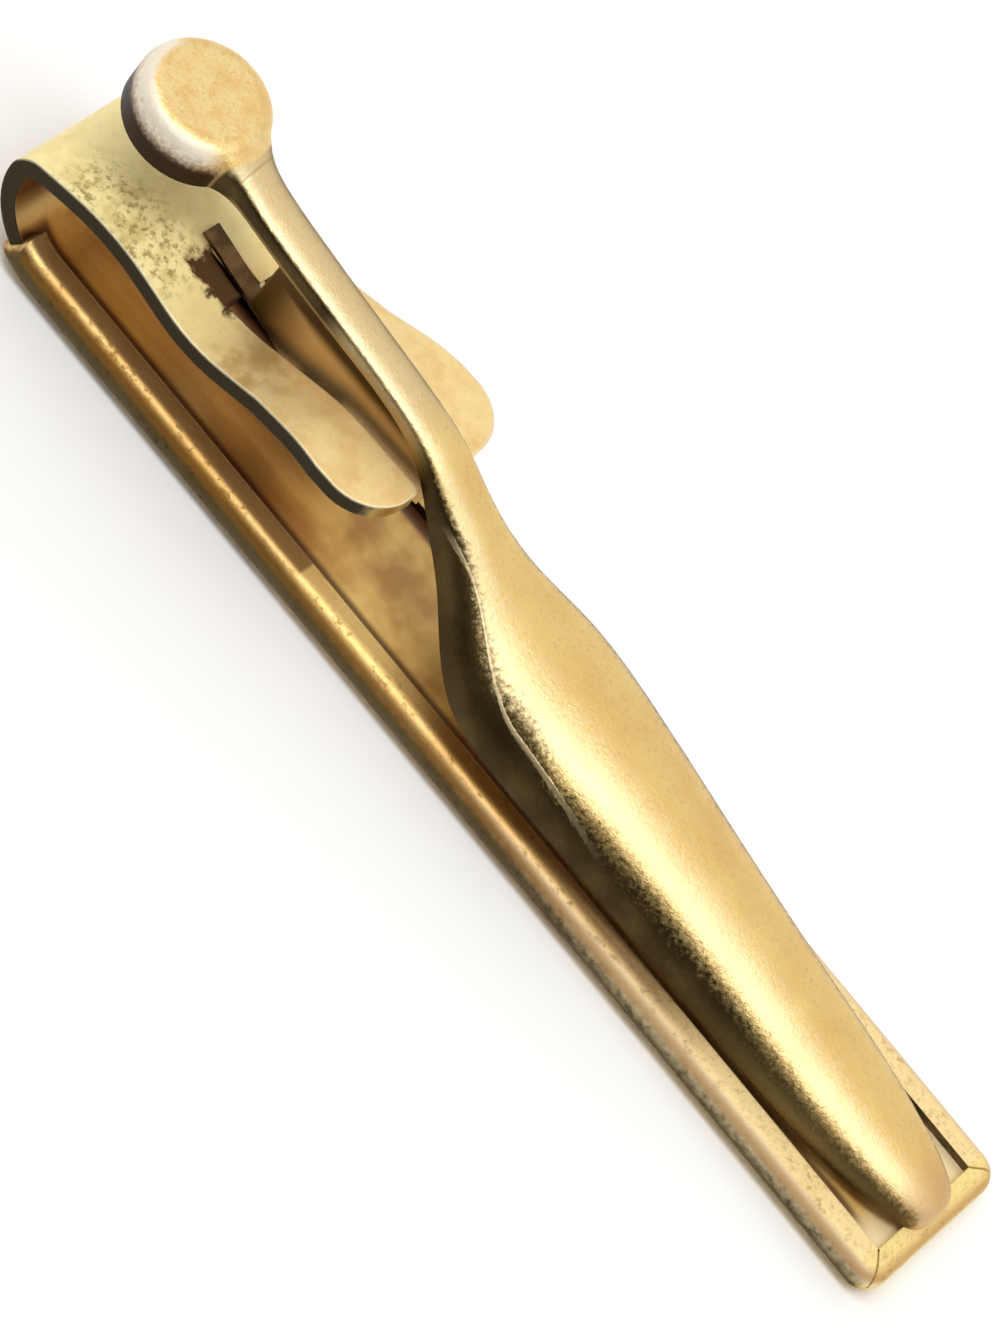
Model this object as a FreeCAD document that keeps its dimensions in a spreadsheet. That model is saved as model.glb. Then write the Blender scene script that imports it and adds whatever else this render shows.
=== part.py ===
import FreeCAD, Part
import math
import os
import Sketcher

# Tie clip with a spring lever, lying on its plain front face.
# x runs from the U-bend to the tip of the jaw, y across the bar and z up from the front face.
# Places along x are counted from the outside of the bend, and every piece is then moved so that the
# middle of the clip's length is at the origin.
SIZES = {
    "overall_length": 55.0,
    "overall_height": 11.75,
    # Front bar: a sheet folded over on its two long sides and at its free end
    "bar_width": 8.75,
    "bar_height": 1.7,
    "bar_sheet": 0.45,
    "side_hem": 1.38,
    "end_hem": 1.16,
    "corner_radius": 1.1,
    "fold_radius": 0.82,
    "mitre_gap": 0.1,
    "wrap_angle": 30.0,
    # Bow: a strip bent back over the bar, given by the middle of its thickness
    "strip_thick": 0.8,
    "bend_radius": 3.7,
    "leg_clearance": 0.1,
    "leg_side_gap": 0.025,
    "brow_height": 5.08,
    "crest_place": 4.9,
    "crest_height": 6.24,
    "dip_place": 10.1,
    "dip_height": 5.3,
    "rise_place": 15.9,
    "rise_height": 7.18,
    "fork_end": 20.2,
    "fork_height": 7.43,
    # Wings of the fork, the slot between them and the narrow slit that the slot begins with
    "wing_round": 2.3,
    "flare_start": 13.5,
    "flare_end": 17.0,
    "slot_width": 2.8,
    "slot_start": 9.6,
    "slot_round": 0.35,
    "slit_width": 1.1,
    "slit_start": 7.4,
    "throat_height": 3.0,
    # Pivot: ears of the bow, lugs of the lever and the riveted pin through them
    "pin_place": 14.35,
    "pin_height": 5.6,
    "pin_radius": 0.45,
    "head_radius": 0.58,
    "head_thick": 0.2,
    "ear_radius": 1.1,
    "ear_thick": 0.6,
    "lug_radius": 1.0,
    "lug_outer": 0.95,
    "lug_start": 10.1,
    "lug_rise": 0.9,
    "running_gap": 0.05,
    # Lever: button, neck and jaw drawn from one sheet
    "lever_sheet": 0.45,
    "jaw_gap": 0.03,
    "jaw_half_width": 3.95,
    "button_place": 3.5,
    "button_radius": 2.87,
    "button_height": 2.15,
    "button_round": 0.85,
    # Leaf spring bent round the pin, with one arm on the bow past the slit and one in the neck
    "spring_thick": 0.2,
    "spring_width": 0.85,
    "spring_gap": 0.1,
    "spring_seat": 0.05,
    "upper_arm_place": 9.0,
    "lower_arm_place": 6.8,
    # Every cut runs this far past the faces it opens
    "overrun": 1.0,
}

# Share of the straight run left to it that the bow's strip rounds off at its brow, crest, dip and rise
ROUNDING_SHARES = (0.83, 0.566, 0.566, 0.209)

# Control sections of the lever from the button to the nose: place as a share of the way from the button's middle
# to the far end, half width as a share of the jaw's, lower edge and crest as shares of the height over the bar,
# and how square it is
LEVER_SHARES = (
    (0.021, 0.582, 0.797, 0.998, 0.90),
    (0.035, 0.532, 0.800, 0.998, 0.90),
    (0.046, 0.420, 0.805, 0.991, 0.85),
    (0.057, 0.314, 0.809, 0.955, 0.80),
    (0.072, 0.268, 0.809, 0.911, 0.80),
    (0.097, 0.266, 0.794, 0.878, 0.80),
    (0.138, 0.263, 0.767, 0.855, 0.80),
    (0.194, 0.253, 0.748, 0.827, 0.80),
    (0.252, 0.248, 0.736, 0.799, 0.80),
    (0.295, 0.266, 0.696, 0.770, 0.70),
    (0.324, 0.316, 0.601, 0.724, 0.50),
    (0.351, 0.385, 0.484, 0.642, 0.30),
    (0.383, 0.460, 0.373, 0.572, 0.10),
    (0.421, 0.720, 0.238, 0.478, 0.00),
    (0.461, 0.980, 0.167, 0.420, 0.00),
    (0.509, 1.020, 0.156, 0.414, 0.00),
    (0.594, 0.920, 0.115, 0.384, 0.00),
    (0.690, 0.810, 0.068, 0.320, 0.00),
    (0.786, 0.740, 0.033, 0.250, 0.00),
    (0.872, 0.690, 0.015, 0.191, 0.00),
    (0.936, 0.560, 0.003, 0.150, 0.00),
    (0.973, 0.420, 0.000, 0.115, 0.00),
    (0.989, 0.260, 0.000, 0.079, 0.00),
    (0.989, 0.060, 0.000, 0.033, 0.00),
)
# Shoulder's place across and up, and the flank's height, in a domed section and in a square one
SHOULDER_SHARES = (0.78, 0.98)
SHOULDER_RISE_SHARES = (0.90, 0.99)
FLANK_SHARES = (0.32, 0.62)
# The lugs end where the neck turns down, and the hollow below where the nose begins
LUG_END_SHARE = 0.326
HOLLOW_END_SHARE = 0.96
HOLLOW_SIDES = 8
DEGREE = 3

doc = FreeCAD.newDocument("tie_clip")
sheet = doc.addObject("Spreadsheet::Sheet", "dims")
for row, (alias, number) in enumerate(SIZES.items(), start=1):
    sheet.set(f"A{row}", alias)
    sheet.set(f"B{row}", str(number))
    sheet.setAlias(f"B{row}", alias)
doc.recompute()


def size(alias):
    """Number in the sheet's cell of that name."""
    return float(sheet.get(alias))


def value(text):
    """Number that an expression of the sheet gives."""
    return float(sheet.evalExpression(text))


def new_body(label):
    """Empty body that is placed with the middle of the clip's length at the origin."""
    body = doc.addObject("PartDesign::Body", label)
    body.Label = label
    body.setExpression("Placement.Base.x", "-dims.overall_length / 2")
    return body


def new_sketch(body, name, role, offset="0"):
    """Sketch on one of the body's origin planes, moved along the plane's normal by an expression."""
    sketch = body.newObject("Sketcher::SketchObject", name)
    plane = [item for item in body.Origin.OriginFeatures if item.Role == role][0]
    sketch.AttachmentSupport = [(plane, "")]
    sketch.MapMode = "FlatFace"
    if offset != "0":
        sketch.setExpression("AttachmentOffset.Base.z", offset)
    return sketch


def pin_down(sketch, geometry, end, across, up):
    """Ties one end of a line or arc to the place that two expressions give."""
    for kind, text, axis in (("DistanceX", across, -2), ("DistanceY", up, -1)):
        number = value(text)
        if abs(number) < 1e-9:
            sketch.addConstraint(Sketcher.Constraint("PointOnObject", geometry, end, axis))
        else:
            index = sketch.addConstraint(Sketcher.Constraint(kind, -1, 1, geometry, end, number))
            sketch.setExpression(f"Constraints[{index}]", text)


def outline(sketch, corners):
    """Closed outline of straight sides through corners given as pairs of expressions."""
    points = [FreeCAD.Vector(value(across), value(up), 0) for across, up in corners]
    first = sketch.GeometryCount
    count = len(points)
    for i in range(count):
        sketch.addGeometry(Part.LineSegment(points[i], points[(i + 1) % count]), False)
    for i in range(count):
        sketch.addConstraint(Sketcher.Constraint("Coincident", first + i, 2, first + (i + 1) % count, 1))
        pin_down(sketch, first + i, 1, *corners[i])


def rectangle(sketch, low_x, low_y, high_x, high_y):
    """Closed rectangle between two corners given as expressions."""
    outline(sketch, [(low_x, low_y), (high_x, low_y), (high_x, high_y), (low_x, high_y)])


def pad(body, sketch, length, midplane=False):
    """Pad whose length is an expression."""
    feature = body.newObject("PartDesign::Pad", sketch.Name + "_pad")
    feature.Profile = sketch
    feature.setExpression("Length", length)
    feature.Midplane = midplane
    doc.recompute()
    return feature


def pocket(body, sketch, length, midplane=False, backward=False):
    """Pocket whose length is an expression; it has to take something away."""
    before = body.Shape.Volume
    feature = body.newObject("PartDesign::Pocket", sketch.Name + "_cut")
    feature.Profile = sketch
    feature.setExpression("Length", length)
    feature.Midplane = midplane
    feature.Reversed = backward
    doc.recompute()
    if body.Shape.Volume >= before:
        raise RuntimeError(f"{feature.Name} cuts nothing")
    return feature


def turn(body, sketch, kind, angle):
    """Revolution or groove of a sketch about its own horizontal axis."""
    feature = body.newObject("PartDesign::" + kind, sketch.Name + "_turn")
    feature.Profile = sketch
    feature.ReferenceAxis = (sketch, ["H_Axis"])
    feature.setExpression("Angle", angle)
    doc.recompute()
    return feature


def round_edges(body, base, chosen, radius):
    """Fillet on the edges of a feature that a test picks."""
    names = [f"Edge{i}" for i, edge in enumerate(base.Shape.Edges, start=1) if chosen(edge)]
    if not names:
        raise RuntimeError(f"no edge of {base.Name} to round")
    feature = body.newObject("PartDesign::Fillet", base.Name + "_round")
    feature.Base = (base, names)
    feature.setExpression("Radius", radius)
    doc.recompute()
    return feature


def near(first, second):
    """Whether two lengths are the same for the purpose of picking edges."""
    return abs(first - second) < size("bar_sheet") / 100


# Front bar: the straight stretch is a plate, and its bend end follows the strip up the start of the bend
def make_front_bar():
    body = new_body("front_bar")
    half_width = "dims.bar_width / 2"
    plan = new_sketch(body, "bar_plan", "XY_Plane")
    rectangle(plan, "dims.bend_radius", f"-{half_width}", "dims.overall_length", half_width)
    plate = pad(body, plan, "dims.bar_height")
    wrap = bend_section(body, "bar_wrap")
    low = "-(dims.bend_radius + dims.bar_sheet)"
    rectangle(wrap, f"-{half_width}", low, half_width, f"{low} + dims.bar_height")
    wrapped = turn(body, wrap, "Revolution", "dims.wrap_angle")

    length = size("overall_length")

    def at_free_corner(edge):
        return near(edge.CenterOfMass.x, length) and near(edge.Length, size("bar_height"))

    cornered = round_edges(body, wrapped, at_free_corner, "dims.corner_radius")
    side = size("bar_width") / 2
    middle = size("bar_height") / 2

    def on_outer_rim(edge):
        box = edge.BoundBox
        on_side = near(max(abs(box.YMin), abs(box.YMax)), side) and box.XLength > middle
        on_end = near(box.XMax, length) and box.ZLength < middle
        return on_side and not near(box.YLength, size("bar_width")) or on_end

    round_edges(body, cornered, on_outer_rim, "dims.fold_radius")
    # Hollow between the front sheet and the hems
    inner = "(dims.bar_width / 2 - dims.bar_sheet)"
    hollow = new_sketch(body, "bar_hollow", "YZ_Plane", "dims.bend_radius")
    rectangle(hollow, f"-{inner}", "dims.bar_sheet", inner, "dims.bar_height - dims.bar_sheet")
    pocket(body, hollow, "dims.overall_length - dims.bend_radius - dims.bar_sheet", backward=True)
    wrap_hollow = bend_section(body, "bar_wrap_hollow")
    rectangle(wrap_hollow, f"-{inner}", "-dims.bend_radius",
              inner, f"{low} + dims.bar_height - dims.bar_sheet")
    turn(body, wrap_hollow, "Groove", "dims.wrap_angle")
    # Opening between the hem edges
    mouth = "(dims.bar_width / 2 - dims.side_hem)"
    opening = new_sketch(body, "bar_opening", "XY_Plane", "dims.bar_height")
    rectangle(opening, "dims.bend_radius", f"-{mouth}", "dims.overall_length - dims.end_hem", mouth)
    pocket(body, opening, "dims.bar_sheet")
    wrap_opening = bend_section(body, "bar_wrap_opening")
    rectangle(wrap_opening, f"-{mouth}", f"{low} + dims.bar_height - dims.bar_sheet",
              mouth, f"{low} + dims.bar_height")
    turn(body, wrap_opening, "Groove", "dims.wrap_angle")
    # Mitred corners: a fine seam from each inner corner of the hems to the outer one
    for name, sign in (("near", "-"), ("far", "")):
        seam = new_sketch(body, "bar_seam_" + name, "XY_Plane", "dims.bar_height")
        inside = ("dims.overall_length - dims.end_hem", f"{sign}{mouth}")
        outside = ("dims.overall_length", f"{sign}{half_width}")
        step = "dims.mitre_gap / 2"
        outline(seam, [(f"{inside[0]} - {step}", f"{inside[1]}"), (f"{inside[0]} + {step}", f"{inside[1]}"),
                       (f"{outside[0]} + {step}", f"{outside[1]}"), (f"{outside[0]} - {step}", f"{outside[1]}")])
        pocket(body, seam, "dims.bar_height / 2")
    return body


def bend_section(body, name):
    """Sketch across the strip where the bend begins, with its horizontal axis on the bend's centre."""
    sketch = new_sketch(body, name, "YZ_Plane", "dims.bend_radius")
    sketch.setExpression("AttachmentOffset.Base.y", "dims.bar_sheet + dims.bend_radius")
    return sketch


# Route of the bow's strip, corner by corner, with the radius that rounds each inner corner
def strip_route():
    middle = size("strip_thick") / 2
    leg_height = size("bar_sheet") + middle
    corners = [
        (size("overall_length") - size("bar_sheet") - size("leg_clearance"), leg_height),
        (middle, leg_height),
        (middle, size("brow_height")),
        (size("crest_place"), size("crest_height")),
        (size("dip_place"), size("dip_height")),
        (size("rise_place"), size("rise_height")),
        (size("fork_end"), size("fork_height")),
    ]
    points = [FreeCAD.Vector(x, z, 0) for x, z in corners]
    reach = size("bend_radius") - middle
    radii = [reach]
    for before, corner, after, share in zip(points[1:], points[2:], points[3:], ROUNDING_SHARES):
        half_angle = (before - corner).getAngle(after - corner) / 2
        reach = share * min((before - corner).Length - reach, (after - corner).Length)
        radii.append(reach * math.tan(half_angle))
    return points, radii


def strip_side(corners, radii, shift):
    """Lines and tangent arcs along one side of a strip that follows the corners."""
    pieces = []
    ahead = (corners[1] - corners[0]).normalize()
    start = corners[0] + FreeCAD.Vector(-ahead.y, ahead.x, 0) * shift
    for before, corner, after, radius in zip(corners, corners[1:], corners[2:], radii):
        back = (before - corner).normalize()
        ahead = (after - corner).normalize()
        half_angle = back.getAngle(ahead) / 2
        inward = (back + ahead).normalize()
        centre = corner + inward * (radius / math.sin(half_angle))
        reach = radius / math.tan(half_angle)
        entry = corner + back * reach + FreeCAD.Vector(back.y, -back.x, 0) * shift
        leave = corner + ahead * reach + FreeCAD.Vector(-ahead.y, ahead.x, 0) * shift
        middle = centre - inward * (entry - centre).Length
        pieces.append(Part.LineSegment(start, entry))
        pieces.append(Part.Arc(entry, middle, leave))
        start = leave
    pieces.append(Part.LineSegment(start, corners[-1] + FreeCAD.Vector(-ahead.y, ahead.x, 0) * shift))
    return pieces


# Bow: a strip that follows its route, trimmed in plan to a fork with two wings, with ears for the pin
def make_bow():
    body = new_body("bow")
    profile = new_sketch(body, "strip_profile", "XZ_Plane")
    corners, radii = strip_route()
    middle = size("strip_thick") / 2
    inside = strip_side(corners, radii, -middle)
    outside = strip_side(corners, radii, middle)
    free_end = Part.LineSegment(inside[-1].EndPoint, outside[-1].EndPoint)
    leg_end = Part.LineSegment(outside[0].StartPoint, inside[0].StartPoint)
    profile.addGeometry(inside + [free_end] + outside + [leg_end], False)
    pad(body, profile, "dims.bar_width", midplane=True)
    # Sides: the strip is narrower than the wings everywhere but at the fork
    wide = "dims.bar_width"
    far = "dims.overall_length"
    for name, sign in (("near", "-"), ("far", "")):
        narrow = f"{sign}(dims.bar_width / 2 - dims.bar_sheet - dims.leg_side_gap)"
        outer = f"{sign}dims.bar_width / 2"
        low_side = new_sketch(body, "leg_side_" + name, "XY_Plane")
        rectangle(low_side, "-dims.overrun", narrow, far, f"{sign}{wide}")
        pocket(body, low_side, "dims.throat_height", backward=True)
        top_side = new_sketch(body, "wing_side_" + name, "XY_Plane", "dims.throat_height")
        wing_cut(top_side, narrow, outer, f"{sign}{wide}", sign)
        pocket(body, top_side, "dims.overall_height", backward=True)
    # Slot of the fork, which begins as a narrow slit for the spring's arm
    slot = "dims.slot_width / 2"
    slit = "dims.slit_width / 2"
    beyond = "dims.fork_end + dims.overrun"
    cut = new_sketch(body, "fork_slot", "XY_Plane", "dims.throat_height")
    outline(cut, [("dims.slot_start", f"-{slot}"), (beyond, f"-{slot}"), (beyond, slot),
                  ("dims.slot_start", slot), ("dims.slot_start", slit), ("dims.slit_start", slit),
                  ("dims.slit_start", f"-{slit}"), ("dims.slot_start", f"-{slit}")])
    slotted = pocket(body, cut, "dims.overall_height", backward=True)

    def at_fork_mouth(edge):
        box = edge.BoundBox
        middle = edge.CenterOfMass
        upright = box.YLength < size("slot_round") / 2 and box.ZLength > size("strip_thick") / 2
        at_slot = near(abs(middle.y), size("slot_width") / 2)
        return upright and at_slot and middle.x > size("rise_place") and box.XLength < size("strip_thick")

    round_edges(body, slotted, at_fork_mouth, "dims.slot_round")
    # Ears bent down beside the slot, with holes that hold the pin
    for name, sign in (("near", "-"), ("far", "")):
        offset = f"{sign}({slot} + dims.ear_thick / 2)"
        ear = new_sketch(body, "ear_" + name, "XZ_Plane", offset)
        ear_outline(ear)
        pad(body, ear, "dims.ear_thick", midplane=True)
    hole = new_sketch(body, "ear_hole", "XZ_Plane")
    circle(hole, "dims.pin_place", "dims.pin_height", "dims.pin_radius")
    pocket(body, hole, "dims.bar_width", midplane=True)
    return body


def wing_cut(sketch, narrow, outer, wide, sign):
    """Outline of what is cut off beside the upper leg: straight, flared to the wing, round at its end."""
    beyond = "dims.fork_end + dims.overrun"
    round_start = "dims.fork_end - dims.wing_round"
    round_end = f"{sign}(dims.bar_width / 2 - dims.wing_round)"
    corners = [(round_start, outer), ("dims.flare_end", outer), ("dims.flare_start", narrow),
               ("-dims.overrun", narrow), ("-dims.overrun", wide), (beyond, wide), (beyond, round_end),
               ("dims.fork_end", round_end)]
    points = [FreeCAD.Vector(value(across), value(up), 0) for across, up in corners]
    count = len(points)
    for i in range(count - 1):
        sketch.addGeometry(Part.LineSegment(points[i], points[i + 1]), False)
        pin_down(sketch, i, 1, *corners[i])
    for i in range(count - 2):
        sketch.addConstraint(Sketcher.Constraint("Coincident", i, 2, i + 1, 1))
    pin_down(sketch, count - 2, 2, *corners[-1])
    radius = size("wing_round")
    centre = FreeCAD.Vector(points[0].x, points[-1].y, 0)
    diagonal = (points[0] - centre + points[-1] - centre).normalize()
    sketch.addGeometry(Part.Arc(points[-1], centre + diagonal * radius, points[0]), False)


def ear_outline(sketch):
    """Upright ear with a round foot about the pin and its head inside the strip."""
    left = "dims.pin_place - dims.ear_radius"
    right = "dims.pin_place + dims.ear_radius"
    slope = "(dims.rise_height - dims.dip_height) / (dims.rise_place - dims.dip_place)"
    corners = [(left, "dims.pin_height"),
               (left, f"dims.dip_height + ({left} - dims.dip_place) * {slope}"),
               (right, f"dims.dip_height + ({right} - dims.dip_place) * {slope}"),
               (right, "dims.pin_height")]
    points = [FreeCAD.Vector(value(across), value(up), 0) for across, up in corners]
    for i in range(len(points) - 1):
        sketch.addGeometry(Part.LineSegment(points[i], points[i + 1]), False)
        pin_down(sketch, i, 1, *corners[i])
    for i in range(len(points) - 2):
        sketch.addConstraint(Sketcher.Constraint("Coincident", i, 2, i + 1, 1))
    pin_down(sketch, len(points) - 2, 2, *corners[-1])
    foot = FreeCAD.Vector(size("pin_place"), size("pin_height") - size("ear_radius"), 0)
    sketch.addGeometry(Part.Arc(points[-1], foot, points[0]), False)


def circle(sketch, across, up, radius):
    """Circle whose centre and radius are expressions."""
    centre = FreeCAD.Vector(value(across), value(up), 0)
    index = sketch.addGeometry(Part.Circle(centre, FreeCAD.Vector(0, 0, 1), value(radius)), False)
    pin_down(sketch, index, 3, across, up)
    constraint = sketch.addConstraint(Sketcher.Constraint("Radius", index, value(radius)))
    sketch.setExpression(f"Constraints[{constraint}]", radius)


# Pivot pin: a rivet with a flat head outside each ear
def make_pivot_pin():
    body = new_body("pivot_pin")
    body.setExpression("Placement.Base.x", "dims.pin_place - dims.overall_length / 2")
    body.setExpression("Placement.Base.z", "dims.pin_height")
    profile = new_sketch(body, "pin_profile", "YZ_Plane")
    shoulder = "(dims.slot_width / 2 + dims.ear_thick)"
    end = "(dims.slot_width / 2 + dims.ear_thick + dims.head_thick)"
    outline(profile, [(f"-{end}", "0"), (end, "0"), (end, "dims.head_radius"), (shoulder, "dims.head_radius"),
                      (shoulder, "dims.pin_radius"), (f"-{shoulder}", "dims.pin_radius"),
                      (f"-{shoulder}", "dims.head_radius"), (f"-{end}", "dims.head_radius")])
    turn(body, profile, "Revolution", "360")
    return body


def lever_height(share):
    """Height of a point of the lever, counted from the hem that the jaw lies on."""
    seat = size("bar_height") + size("jaw_gap")
    return seat + share * (size("overall_height") - seat)


def lever_place(share):
    """Place of a section of the lever, counted from the button's middle."""
    return size("button_place") + share * (size("overall_length") - size("button_place"))


def lever_section(row, inset=0, drop=0):
    """Poles across the lever from one lower edge over the crest to the other."""
    place_share, half_share, base_share, crest_share, square_share = row
    place = lever_place(place_share)
    half = half_share * size("jaw_half_width") - inset
    base = lever_height(base_share)
    rise = lever_height(crest_share) - inset - base

    def between(shares):
        return shares[0] + (shares[1] - shares[0]) * square_share

    shoulder_rise = rise * between(SHOULDER_RISE_SHARES)
    flank = [(half, -drop), (half, rise * between(FLANK_SHARES)),
             (half * between(SHOULDER_SHARES), shoulder_rise)]
    top = rise + (rise - shoulder_rise) / 2
    across = [(-y, z) for y, z in flank] + [(0, top)] + flank[::-1]
    return [FreeCAD.Vector(place, y, base + z) for y, z in across]


def even_knots(count):
    """Evenly spaced knots and their multiplicities for that many poles."""
    spans = count - DEGREE
    ends = DEGREE + 1
    return [i / spans for i in range(spans + 1)], [ends] + [1] * (spans - 1) + [ends]


def lever_skin():
    """Solid below one smooth surface over the control sections, in patches from section to section."""
    poles = [lever_section(row) for row in LEVER_SHARES]
    along, along_counts = even_knots(len(poles))
    across, across_counts = even_knots(len(poles[0]))
    surface = Part.BSplineSurface()
    surface.buildFromPolesMultsKnots(poles, along_counts, across_counts, along, across,
                                     False, False, DEGREE, DEGREE)
    faces = []
    for start, end in zip(along, along[1:]):
        patch = surface.copy()
        patch.segment(start, end, 0, 1)
        sides = [patch.vIso(0).toShape(), patch.vIso(1).toShape()]
        faces += [patch.toShape(), Part.makeRuledSurface(*sides)]
    for way in (0, 1):
        curve = surface.uIso(way)
        chord = Part.LineSegment(curve.EndPoint, curve.StartPoint)
        faces.append(Part.Face(Part.Wire([curve.toShape(), chord.toShape()])))
    shell = Part.makeShell(faces)
    shell.sewShape()
    solid = Part.makeSolid(shell)
    if solid.Volume < 0:
        solid.reverse()
    return solid


def lever_hollow():
    """Space under the sheet, in flats between the control sections."""
    wires = []
    for row in LEVER_SHARES:
        if row[0] > HOLLOW_END_SHARE:
            continue
        poles = lever_section(row, size("lever_sheet"), size("overrun"))
        curve = Part.BSplineCurve()
        curve.buildFromPoles(poles, False, DEGREE)
        flats = [curve.value(i / HOLLOW_SIDES) for i in range(HOLLOW_SIDES + 1)]
        wires.append(Part.makePolygon(flats + flats[:1]))
    return Part.makeLoft(wires, True, True)


# Lever: one drawn sheet, hollow below, with a closed nose, a cupped button and two lugs
def make_lever():
    outside = lever_skin().fuse(button_form(0))
    shape = outside.cut([lever_hollow(), button_form(size("lever_sheet"))]).fuse([lug_form(-1), lug_form(1)])
    bore = Part.makeCylinder(size("pin_radius") + size("running_gap"), size("bar_width"),
                             FreeCAD.Vector(size("pin_place"), -size("bar_width") / 2, size("pin_height")),
                             FreeCAD.Vector(0, 1, 0))
    shape = shape.cut(bore)
    lever = doc.addObject("Part::Feature", "lever")
    lever.Label = "lever"
    lever.Shape = shape.Solids[0] if len(shape.Solids) == 1 else shape
    lever.Placement = FreeCAD.Placement(FreeCAD.Vector(-size("overall_length") / 2, 0, 0), FreeCAD.Rotation())
    return lever


def lever_line(place):
    """Heights of the lever's lower edge and crest at a place, on straight runs between the control sections."""
    for before, after in zip(LEVER_SHARES, LEVER_SHARES[1:]):
        start, end = lever_place(before[0]), lever_place(after[0])
        if start <= place <= end:
            way = (place - start) / (end - start)
            return [lever_height(low + way * (high - low)) for low, high in zip(before[2:4], after[2:4])]
    raise ValueError(f"{place} is not on the lever")


def button_form(inset):
    """Round button with a rolled rim, or its plain hollow when it is inset by the sheet's thickness."""
    base = size("overall_height") - size("button_height") - (size("overrun") if inset else 0)
    drum = Part.makeCylinder(size("button_radius") - inset, size("overall_height") - inset - base,
                             FreeCAD.Vector(size("button_place"), 0, base))
    if inset:
        return drum
    top = [edge for edge in drum.Edges if near(edge.BoundBox.ZMin, size("overall_height"))]
    return drum.makeFillet(size("button_round"), top)


def lug_form(sign):
    """Lug bent down from one side of the neck, round about the pin."""
    pin = FreeCAD.Vector(size("pin_place"), 0, size("pin_height"))
    radius = size("lug_radius")
    thick = size("lever_sheet")
    start, end = size("lug_start"), lever_place(LUG_END_SHARE)
    sections = [lever_place(row[0]) for row in LEVER_SHARES]
    places = [start] + [place for place in sections if start < place < end] + [end]
    heads = [FreeCAD.Vector(place, 0, lever_line(place)[0] + thick / 2) for place in places]
    skirt = size("pin_height") + size("lug_rise")
    toe, heel = FreeCAD.Vector(end, 0, skirt), FreeCAD.Vector(start, 0, skirt)
    corners = heads + [toe, pin + FreeCAD.Vector(radius, 0, 0), pin - FreeCAD.Vector(radius, 0, 0), heel]
    plate = Part.Face(Part.makePolygon(corners + corners[:1])).extrude(FreeCAD.Vector(0, thick, 0))
    foot = Part.makeCylinder(radius, thick, pin, FreeCAD.Vector(0, 1, 0))
    lug = plate.fuse(foot)
    side = size("lug_outer") - thick if sign > 0 else -size("lug_outer")
    lug.translate(FreeCAD.Vector(0, side, 0))
    return lug


def bow_top(place):
    """Height of the bow's upper face on the straight run from its crest to its dip."""
    run = size("dip_place") - size("crest_place")
    fall = size("dip_height") - size("crest_height")
    lift = size("strip_thick") / 2 * math.hypot(run, fall) / run
    return size("crest_height") + (place - size("crest_place")) * fall / run + lift


# Leaf spring: a flat strip bent round the pin, with both arms towards the bend
def make_leaf_spring():
    body = new_body("leaf_spring")
    profile = new_sketch(body, "spring_profile", "XZ_Plane")
    middle = size("spring_thick") / 2
    radius = size("pin_radius") + size("spring_gap") + middle
    pin = FreeCAD.Vector(size("pin_place"), size("pin_height"), 0)
    roof = lever_line(size("upper_arm_place"))[1] - size("lever_sheet")
    seat = size("spring_seat")
    tip = FreeCAD.Vector(size("upper_arm_place"), roof - size("spring_thick") - seat, 0)
    foot = FreeCAD.Vector(size("lower_arm_place"), bow_top(size("lower_arm_place")) + middle + seat, 0)
    # Each arm is a tangent of the bend: the upper one passes over the pin and the lower one below it
    upper, lower = [math.atan2(end.y - pin.y, end.x - pin.x) + side * math.asin(radius / (end - pin).Length)
                    for end, side in ((tip, 1), (foot, -1))]
    spread = (lower - upper) / 2
    middle_way = FreeCAD.Vector(math.cos(upper + spread), math.sin(upper + spread), 0)
    apex = pin - middle_way * (radius / math.sin(spread))
    route = [foot, apex, tip]
    inside = strip_side(route, [radius], middle)
    outside = strip_side(route, [radius], -middle)
    tips = [Part.LineSegment(inside[-1].EndPoint, outside[-1].EndPoint),
            Part.LineSegment(outside[0].StartPoint, inside[0].StartPoint)]
    profile.addGeometry(inside + outside + tips, False)
    pad(body, profile, "dims.spring_width", midplane=True)
    return body


parts = [make_front_bar(), make_bow(), make_pivot_pin(), make_lever(), make_leaf_spring()]
doc.recompute()
for item in doc.Objects:
    if "Invalid" in item.State or "Error" in item.State:
        raise RuntimeError(f"{item.Label} failed: {item.State}")
for part in parts:
    if part.Shape.isNull() or not part.Shape.isValid() or len(part.Shape.Solids) != 1:
        raise RuntimeError(f"{part.Label} is not one valid solid")
os.makedirs("parts", exist_ok=True)
for part in parts:
    part.Shape.exportStep(f"parts/{part.Label}.step")
    box = part.Shape.BoundBox
    print(f"{part.Label}: volume {part.Shape.Volume:.1f} mm3, x {box.XMin:.2f} to {box.XMax:.2f}, "
          f"y {box.YMin:.2f} to {box.YMax:.2f}, z {box.ZMin:.2f} to {box.ZMax:.2f}")
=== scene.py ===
import math

import bmesh
import bpy
from mathutils import Matrix, Vector


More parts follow.
